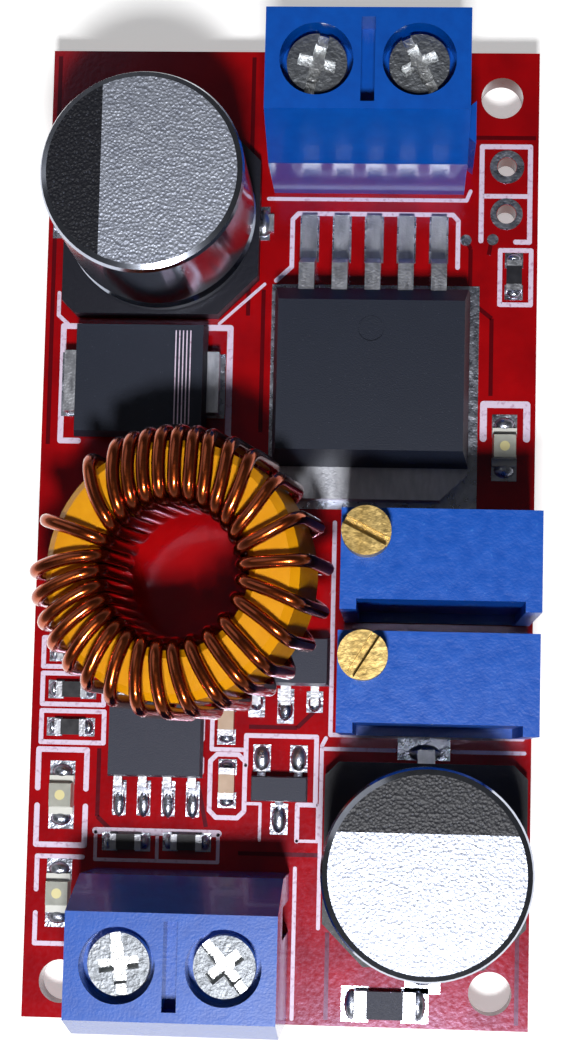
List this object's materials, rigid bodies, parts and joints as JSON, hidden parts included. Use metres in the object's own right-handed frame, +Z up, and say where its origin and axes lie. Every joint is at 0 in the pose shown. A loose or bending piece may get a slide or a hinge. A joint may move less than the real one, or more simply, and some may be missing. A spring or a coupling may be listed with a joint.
{
  "type": "adjustable step-down converter module",
  "caption": "Adjustable step-down power converter: open circuit board with a ring inductor, can capacitors, trimmers and screw terminals for input and output.",
  "frame": {"origin": "centre of the board's outline, on the plane that the tips of the through-hole pins stand on", "axes": "+X across the board towards the trimmers, +Y along the board towards the input terminal block, +Z up out of the component side"},
  "size_m": [0.026, 0.051, 0.0143],
  "materials": {
    "board_red": "gloss solder mask",
    "solder": "bright",
    "terminal_blue": "gloss",
    "tinned_metal": "satin tin",
    "screw_steel": "bright",
    "clamp_steel": "satin",
    "can_aluminium": "satin",
    "black_plastic": "matte",
    "black_epoxy": "fine matte",
    "core_yellow": "matte powder paint",
    "enamelled_copper": "gloss enamel",
    "trimmer_blue": "satin",
    "trimmer_brass": "satin",
    "chip_black": "glazed",
    "chip_brown": "satin",
    "lamp_white": "satin",
    "lamp_clear": "gloss"
  },
  "bodies": {
    "module": {"circuit_board": "board_red", "underside_solder_joints": "solder", "input_terminal_housing": "terminal_blue", "output_terminal_housing": "terminal_blue", "terminal_contact_pins": "tinned_metal", "input_capacitor_can": "can_aluminium", "input_capacitor_base": "black_plastic", "output_capacitor_can": "can_aluminium", "output_capacitor_base": "black_plastic", "capacitor_leads": "tinned_metal", "regulator_body": "black_epoxy", "regulator_tab": "tinned_metal", "regulator_leads": "tinned_metal", "diode_body": "black_epoxy", "diode_leads": "tinned_metal", "inductor_core": "core_yellow", "inductor_winding": "enamelled_copper", "voltage_trimmer_housing": "trimmer_blue", "current_trimmer_housing": "trimmer_blue", "trimmer_pins": "tinned_metal", "amplifier_body": "black_epoxy", "amplifier_leads": "tinned_metal", "small_regulator_body": "black_epoxy", "small_regulator_leads": "tinned_metal", "reference_body": "black_epoxy", "reference_leads": "tinned_metal", "chip_resistor_bodies": "chip_black", "chip_resistor_ends": "tinned_metal", "chip_capacitor_bodies": "chip_brown", "chip_capacitor_ends": "tinned_metal", "lamp_bases": "lamp_white", "lamp_lenses": "lamp_clear", "shunt_resistor_body": "black_epoxy", "shunt_resistor_ends": "tinned_metal"},
    "input_left_screw": {"input_left_terminal_screw": "screw_steel"},
    "input_left_clamp": {"input_left_clamp_cage": "clamp_steel"},
    "input_right_screw": {"input_right_terminal_screw": "screw_steel"},
    "input_right_clamp": {"input_right_clamp_cage": "clamp_steel"},
    "output_left_screw": {"output_left_terminal_screw": "screw_steel"},
    "output_left_clamp": {"output_left_clamp_cage": "clamp_steel"},
    "output_right_screw": {"output_right_terminal_screw": "screw_steel"},
    "output_right_clamp": {"output_right_clamp_cage": "clamp_steel"},
    "voltage_adjuster": {"voltage_trimmer_screw": "trimmer_brass"},
    "current_adjuster": {"current_trimmer_screw": "trimmer_brass"}
  },
  "joints": [
    {"name": "input_left_screw_turn", "type": "hinge", "parent": "module", "child": "input_left_screw", "pos_m": [0.00155, 0.0218, 0.012], "axis": [0, 0, -1], "range_deg": [0, 1521]},
    {"name": "input_left_clamp_rise", "type": "slide", "parent": "module", "child": "input_left_clamp", "axis": [0, 0, 1], "range_m": [0, 0.0019]},
    {"name": "input_right_screw_turn", "type": "hinge", "parent": "module", "child": "input_right_screw", "pos_m": [0.00655, 0.0218, 0.012], "axis": [0, 0, -1], "range_deg": [0, 1521]},
    {"name": "input_right_clamp_rise", "type": "slide", "parent": "module", "child": "input_right_clamp", "axis": [0, 0, 1], "range_m": [0, 0.0019]},
    {"name": "output_left_screw_turn", "type": "hinge", "parent": "module", "child": "output_left_screw", "pos_m": [-0.00683, -0.0218, 0.012], "axis": [0, 0, -1], "range_deg": [0, 1521]},
    {"name": "output_left_clamp_rise", "type": "slide", "parent": "module", "child": "output_left_clamp", "axis": [0, 0, 1], "range_m": [0, 0.0019]},
    {"name": "output_right_screw_turn", "type": "hinge", "parent": "module", "child": "output_right_screw", "pos_m": [-0.00183, -0.0218, 0.012], "axis": [0, 0, -1], "range_deg": [0, 1521]},
    {"name": "output_right_clamp_rise", "type": "slide", "parent": "module", "child": "output_right_clamp", "axis": [0, 0, 1], "range_m": [0, 0.0019]},
    {"name": "voltage_adjuster_turn", "type": "hinge", "parent": "module", "child": "voltage_adjuster", "pos_m": [0.00445, -0.00128, 0.013], "axis": [0, 0, -1], "continuous": true},
    {"name": "current_adjuster_turn", "type": "hinge", "parent": "module", "child": "current_adjuster", "pos_m": [0.00439, -0.00711, 0.013], "axis": [0, 0, -1], "continuous": true}
  ],
  "couplings": [
    {"joint": "input_left_screw_turn", "follows": "input_left_clamp_rise", "rad_per_m": 13963},
    {"joint": "input_right_screw_turn", "follows": "input_right_clamp_rise", "rad_per_m": 13963},
    {"joint": "output_left_screw_turn", "follows": "output_left_clamp_rise", "rad_per_m": 13963},
    {"joint": "output_right_screw_turn", "follows": "output_right_clamp_rise", "rad_per_m": 13963}
  ]
}
